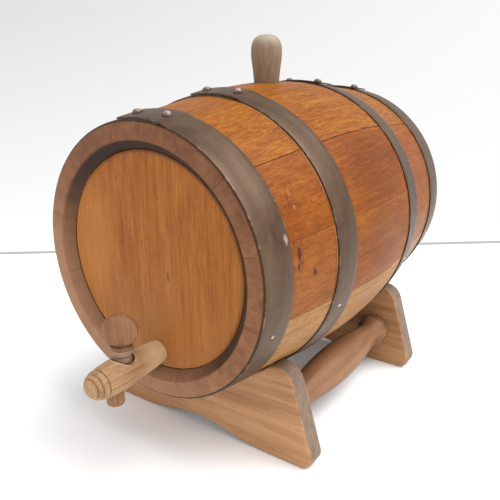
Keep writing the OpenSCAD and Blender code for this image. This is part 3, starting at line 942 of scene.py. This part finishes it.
def make_bung():
    """Turned stopper, swelling above the stave and rounded over at the top."""
    height = bung_high.z - BUNG_TOP
    depth = BUNG_TOP - bung_low.z
    foot_r = BUNG_R - BUNG_TAPER * depth
    above = [
        (0, BUNG_R),
        (0.25 * height, BUNG_R + 0.4 * (BUNG_BELLY - BUNG_R)),
        (0.48 * height, BUNG_R + 0.88 * (BUNG_BELLY - BUNG_R)),
        (0.64 * height, BUNG_BELLY),
        (0.79 * height, 0.95 * BUNG_BELLY),
        (0.9 * height, 0.8 * BUNG_BELLY),
        (0.965 * height, 0.55 * BUNG_BELLY),
        (0.992 * height, 0.28 * BUNG_BELLY),
        (height, 0),
    ]
    line = [(-depth, 0), (-depth, foot_r - 0.8 * MM), (0.8 * MM - depth, foot_r)]
    line += curve_through(above, steps=4)

    def place(t, r, angle):
        return Vector((r * math.sin(angle), MID_Y + r * math.cos(angle), BUNG_TOP + t))

    stops = [(0.1, srgb(98, 76, 58)), (0.5, srgb(124, 100, 77)), (0.92, srgb(148, 126, 100))]
    wood = Wood("bung_wood", axis="Z", offset=(0.1, 0.5, 0.2))
    colour, height_map = wood.look(stops, width=0.8, bands=0.55, fibres=0.35, patches=0.35, pores=0.3)
    z = wood.parts(wood.here())[2]
    pale = wood.step(z, BUNG_TOP + 0.7 * height, BUNG_TOP + 1.02 * height)
    colour = wood.tint(colour, srgb(170, 160, 142), pale, 0.7)
    material = wood.finish(colour, 0.55, height_map, 0.12 * MM, specular=0.3)
    verts, faces = lathe(line, place)
    new_piece("bung_turned", verts, faces, material, "bung", ["bung"], sharp=50)


make_bung()


# ---- tap ----

tap_stops = [(0.08, srgb(134, 98, 64)), (0.5, srgb(166, 129, 92)), (0.95, srgb(190, 156, 116))]
key_stops = [(0.08, srgb(110, 74, 46)), (0.5, srgb(140, 98, 66)), (0.95, srgb(162, 122, 88))]
key_low, key_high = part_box("tap_key")
tap_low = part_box("tap_body")[0]
TAP_Z = AXIS_Z - 57.5 * MM
KNOB_R = 10 * MM
KNOB_Z = key_high.z - KNOB_R
KEY_RINGS = (KNOB_Z - 10.55 * MM, KNOB_Z - 9.2 * MM, KNOB_Z - 15.2 * MM)  # heights of its grooves
KEY_RING_HALF = 0.5 * MM
POCKET_R = 7.1 * MM  # the key's pocket in the top of the body
LIP_R = 7.45 * MM
NOSE_RINGS = (1.35 * MM, 4.0 * MM, 7.85 * MM)  # the turned grooves, from the tip of the nose
NOSE_RING_HALF = 0.55 * MM


def turned_lines(wood, colour, place, lines, half, strength, tint):
    """Dark lines in turned grooves, at those places along one axis, fainter here and there."""
    wear_and_light = wood.linear(wood.noise(wood.place, (220, 220, 220), detail=2), 0.35, 0.6, 0.45, 1.0)
    for line in lines:
        near = wood.math("ABSOLUTE", wood.math("SUBTRACT", place, line))
        near = wood.step(near, half, 0.35 * half, 0, strength)
        colour = wood.tint(colour, tint, near, wear_and_light)
    return colour


def tap_material():
    """The tap's body: pale turned wood, dark in the grooves of the nose, with painted shade in the key's
    pocket, a painted highlight on its lip and painted light towards the root.
    """
    wood = Wood("tap_wood", axis="Y", offset=(0.2, 0, 0.3))
    colour, height = wood.look(tap_stops, width=0.7, bands=0.5, pores=0.6)
    x, y, z = wood.parts(wood.here())
    from_tip = wood.math("SUBTRACT", y, tap_low.y)
    colour = turned_lines(wood, colour, from_tip, NOSE_RINGS, NOSE_RING_HALF, 0.75, srgb(92, 58, 34))
    # Painted light: the body is made paler towards its root at the head.
    root = wood.linear(from_tip, 32 * MM, 46 * MM, 0, 0.8)
    colour = wood.mix(root, colour, srgb(214, 182, 142))
    key_y = (key_low.y + key_high.y) / 2
    reach = wood.length(wood.join(x, wood.math("SUBTRACT", y, key_y), 0))
    above = wood.step(z, TAP_Z + 6 * MM, TAP_Z + 7 * MM)
    # Painted shade inside the key's pocket.
    pocket = wood.times(wood.step(reach, POCKET_R + 0.05 * MM, POCKET_R - 0.1 * MM, 0, 0.8), above)
    colour = wood.mix(pocket, colour, srgb(74, 46, 28))
    # Painted highlight along the pocket's lip.
    lip = wood.math("ABSOLUTE", wood.math("SUBTRACT", reach, LIP_R))
    lip = wood.times(wood.step(lip, 0.4 * MM, 0.1 * MM, 0, 0.45), above)
    colour = wood.mix(lip, colour, srgb(236, 216, 190))
    return wood.finish(colour, 0.6, height, 0.1 * MM, specular=0.3)


def key_material():
    """The key: browner wood than the body, greyed by handling on its rings."""
    wood = Wood("key_wood", axis="Z", offset=(0.3, 0.2, 0))
    colour, height = wood.look(key_stops, width=0.6, bands=0.4, patches=0.45, pores=0.4)
    z = wood.parts(wood.here())[2]
    grey = wood.step(z, KNOB_Z - 9.2 * MM, KNOB_Z - 11 * MM, 0, 0.55)
    colour = wood.mix(grey, colour, srgb(146, 120, 100))
    colour = turned_lines(wood, colour, z, KEY_RINGS, KEY_RING_HALF, 0.7, srgb(58, 36, 26))
    return wood.finish(colour, 0.6, height, 0.1 * MM, specular=0.3)


dress("tap_body", tap_material())
# Painted shade: the spout takes the key's darker stops, for the shade under the tap.
dress("tap_spout", turned_material("spout_wood", "Z", (0.6, 0, 0.3), key_stops, width=0.7, bands=0.4))
dress("tap_key", key_material())


# ---- cradle ----

cross_low, cross_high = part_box("front_cross_piece")
rail_low, rail_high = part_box("right_rail")
CROSS_S = cross_low.y - FRONT_Y
CROSS_T = cross_high.y - cross_low.y
FOOT_X = cross_high.x
REST_GAP = 0.3 * MM  # between the barrel and its saddles
HORN_R = 13 * MM  # the round at each side of a saddle: its radius, its place and how far it cuts in
HORN_A = math.radians(38.8)
HORN_BITE = 1.2 * MM
FOOT_R = 8 * MM
ARCH_X = 52 * MM  # the arch between the feet: half its width, and its height
ARCH_H = 6.8 * MM
PLANK_EASE = 1.5 * MM
NECK_R, NECK_L = 8.6 * MM, 17 * MM  # the rail's neck, its bead against the plank, and its tenon
BEAD_R = 11.8 * MM
TENON_R, TENON_L = 6 * MM, 7.8 * MM
RAIL_X = (rail_low.x + rail_high.x) / 2
RAIL_Z = (rail_low.z + rail_high.z) / 2
RAIL_R = (rail_high.x - rail_low.x) / 2


def arc(centre, radius, start, stop, steps):
    """Points along a round, between two angles."""
    points = []
    for k in range(steps + 1):
        a = start + (stop - start) * k / steps
        points.append((centre[0] + radius * math.cos(a), centre[1] + radius * math.sin(a)))
    return points


def cross_outline(saddle_r):
    """The cross-piece's outline as (x, z) points, with a saddle of that radius."""
    reach = (outer_r(CROSS_S) + outer_r(CROSS_S + CROSS_T)) / 2 + REST_GAP + HORN_R - HORN_BITE
    horn = Vector((reach * math.sin(HORN_A), AXIS_Z - reach * math.cos(HORN_A)))
    foot = Vector((FOOT_X - FOOT_R, FOOT_R))
    side = foot - horn
    side_a = math.atan2(side.y, side.x) + math.pi / 2 - math.asin((HORN_R - FOOT_R) / side.length)
    half = []
    for k in range(13):
        half.append((ARCH_X * k / 12, ARCH_H * (1 + math.cos(math.pi * k / 12)) / 2))
    half += arc(foot, FOOT_R, -math.pi / 2, side_a, 10)
    # The horn's round ends where it meets the saddle.
    gap = horn - Vector((0, AXIS_Z))
    cosine = (saddle_r**2 - gap.length_squared - HORN_R**2) / (2 * gap.length * HORN_R)
    meet = math.atan2(gap.y, gap.x) + math.acos(max(-1, min(1, cosine)))
    half += arc(horn, HORN_R, side_a, meet, 14)
    x, z = half[-1]
    saddle_a = math.atan2(x, AXIS_Z - z)
    for k in range(1, 25):
        a = saddle_a * (1 - k / 24)
        half.append((saddle_r * math.sin(a), AXIS_Z - saddle_r * math.cos(a)))
    mirrored = [(-x, z) for x, z in half[-2:0:-1]]
    return half + mirrored


def make_cross_piece(node, front_edge, turned):
    """A plank with a hollowed top and eased edges."""
    rings = []
    layers = 4
    for k in range(layers + 1):
        s = CROSS_S + CROSS_T * k / layers
        radius = outer_r(s) + REST_GAP
        y = 2 * MID_Y - FRONT_Y - s if turned else FRONT_Y + s
        rings.append([Vector((x, y, z)) for x, z in cross_outline(radius)])
    verts, faces = loft(rings)
    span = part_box(node)
    material = cradle_material(
        node + "_wood", "X", (front_edge, 0, 0), PLANK_STOPS, (span[0].y, span[1].y)
    )
    piece = new_piece(node + "_plank", verts, faces, material, "cradle", [node], sharp=40)
    ease = piece.modifiers.new("eased", "BEVEL")
    ease.width = PLANK_EASE
    ease.segments = 3
    ease.limit_method = "ANGLE"
    ease.angle_limit = math.radians(50)
    ease.harden_normals = True


make_cross_piece("front_cross_piece", 0.0, False)
make_cross_piece("rear_cross_piece", 0.6, True)


def make_rail(node, x):
    """A turned rail: a bead against each cross-piece, a neck, and a long swelling between."""
    start = CROSS_S + CROSS_T
    length = LENGTH - 2 * start
    bead = [
        (0.02 * MM, BEAD_R - 1.2 * MM),
        (0.5 * MM, BEAD_R - 0.45 * MM),
        (1.6 * MM, BEAD_R),
        (6.6 * MM, BEAD_R),
        (8.6 * MM, BEAD_R - 0.5 * MM),
        (10.2 * MM, BEAD_R - 1.5 * MM),
    ]
    half = [(-TENON_L, 0), (-TENON_L, TENON_R), (0.02 * MM, TENON_R)]
    half += curve_through(bead, steps=3)
    half += [(12.5 * MM, NECK_R + 0.55 * MM), (14.5 * MM, NECK_R + 0.1 * MM)]
    swell = []
    for k in range(33):
        u = k / 32
        radius = NECK_R + (RAIL_R - NECK_R) * math.sin(math.pi * u)
        swell.append((NECK_L + (length - 2 * NECK_L) * u, radius))
    line = half + swell + [(length - t, r) for t, r in half[::-1]]

    def place(t, r, angle):
        return Vector((x + r * math.sin(angle), FRONT_Y + start + t, RAIL_Z + r * math.cos(angle)))

    material = cradle_material(node + "_wood", "Y", (0.3 + x, 0.4, 0), SHADED_RAIL_STOPS)
    verts, faces = lathe(line, place)
    new_piece(node + "_turned", verts, faces, material, "cradle", [node], sharp=50)


make_rail("right_rail", RAIL_X)
make_rail("left_rail", -RAIL_X)


# ---- floor, light and world ----

TABLE_EDGE = 0.309  # from under the barrel's middle to the table's far edge, away from the camera
TABLE_REACH = 3.0
EDGE_TURN = CAMERA_AZIMUTH + math.radians(2.5)
EDGE_BAND = 10 * MM
TABLE_TONE, BAND_TONE = 0.94, 0.3


def floor_material(name, tone):
    """Plain grey of that tone, hardly mottled."""
    ground = Surface(name)
    haze = ground.noise(ground.here(), (3, 3, 3), detail=2)
    low, high = (0.98 * tone, 0.99 * tone, 0.99 * tone, 1), (tone, tone, tone, 1)
    return ground.finish(ground.ramp(haze, [(0.3, low), (0.7, high)]), 0.5)


def make_floor():
    """A white table top that ends a little behind the barrel, with a grey band of painted shade along
    that edge.
    """
    across = Vector((math.cos(EDGE_TURN), math.sin(EDGE_TURN), 0))
    away = Vector((-math.sin(EDGE_TURN), math.cos(EDGE_TURN), 0))
    middle = Vector((0, MID_Y, 0))
    corners = [
        middle + across * side * TABLE_REACH + away * reach
        for reach in (-TABLE_REACH, TABLE_EDGE, TABLE_EDGE + EDGE_BAND)
        for side in (-1, 1)
    ]
    mesh = bpy.data.meshes.new("table")
    mesh.from_pydata([tuple(c) for c in corners], [], [(0, 1, 3, 2), (2, 3, 5, 4)])
    mesh.materials.append(floor_material("table_white", TABLE_TONE))
    # The grey band is painted shade along the table's far edge.
    mesh.materials.append(floor_material("table_edge_shade", BAND_TONE))
    mesh.polygons[1].material_index = 1
    table = linked("table", mesh)


def add_sun(name, direction, strength, spread):
    """Soft light that comes evenly from one side of the sky."""
    data = bpy.data.lights.new(name, "SUN")
    data.energy = strength
    data.angle = math.radians(spread)
    lamp = linked(name, data)
    lamp.rotation_euler = Vector(direction).to_track_quat("Z", "Y").to_euler()


make_floor()
add_sun("window", (0.6, 0.3, 1.0), 3.9, 60)
add_sun("room", (-0.4, -1.0, 0.5), 1.2, 90)


WALL_BRIGHT, WALL_SHADED = (1.02, 1.02, 1.02, 1), (0.76, 0.77, 0.76, 1)
SKY, SKY_STRENGTH = (0.88, 0.9, 0.92, 1), 0.7
# How steeply a direction points up, from -1 to 1, where the wall falls off and where the sky starts.
WALL_FROM, WALL_TO = -0.28, 0.04
SKY_FROM, SKY_TO = 0.1, 0.3


def make_world():
    """A dim room above, and a pale wall from a little above the table downwards."""
    world = bpy.data.worlds.new("room")
    world.use_nodes = True
    room = Graph(world.node_tree)
    place = room.node("ShaderNodeTexCoord", {}, "Generated")
    rise = room.parts(place)[2]
    right = (math.cos(CAMERA_AZIMUTH), math.sin(CAMERA_AZIMUTH), 0)
    side = room.vector("DOT_PRODUCT", place, right, "Value")
    # The wall is brightest behind the table's edge and falls off upwards, most of all to the left.
    up = room.linear(rise, WALL_FROM, WALL_TO)
    left = room.linear(side, 0.35, -0.35, 0.25, 1.0)
    tones = room.mix(room.times(up, left), WALL_BRIGHT, WALL_SHADED)
    wall = room.node("ShaderNodeBackground", {"Color": tones, "Strength": 1.0})
    sky = room.node("ShaderNodeBackground", {"Color": SKY, "Strength": SKY_STRENGTH})
    split = room.linear(rise, SKY_FROM, SKY_TO)
    both = room.node("ShaderNodeMixShader", {0: split, 1: wall, 2: sky})
    room.put(room.tree.nodes["World Output"].inputs[0], both)
    bpy.context.scene.world = world


make_world()
bpy.context.scene.view_settings.view_transform = "Standard"
